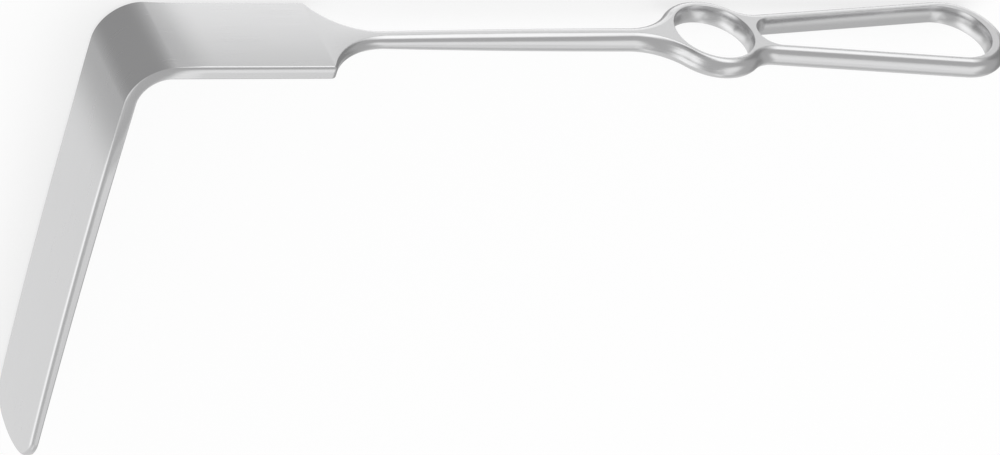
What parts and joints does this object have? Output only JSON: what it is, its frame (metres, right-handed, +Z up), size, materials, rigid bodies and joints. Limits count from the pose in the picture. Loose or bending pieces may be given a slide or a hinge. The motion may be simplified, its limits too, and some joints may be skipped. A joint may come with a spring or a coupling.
{
  "type": "surgical retractor",
  "caption": "Handheld surgical retractor in satin stainless steel: long flat blade at a right angle to a slender round shaft, with a finger ring and an open loop grip.",
  "frame": {"origin": "centre of the footprint at table height, with the instrument lying on its side as it comes to rest", "axes": "+X along the shaft from the blade's end to the loop grip, the blade points to -Y, +Z up and across the instrument's width"},
  "size_m": [0.2642, 0.139, 0.0296],
  "materials": {
    "stainless_steel": "satin"
  },
  "bodies": {
    "root": {"retractor": "stainless_steel"}
  },
  "joints": []
}
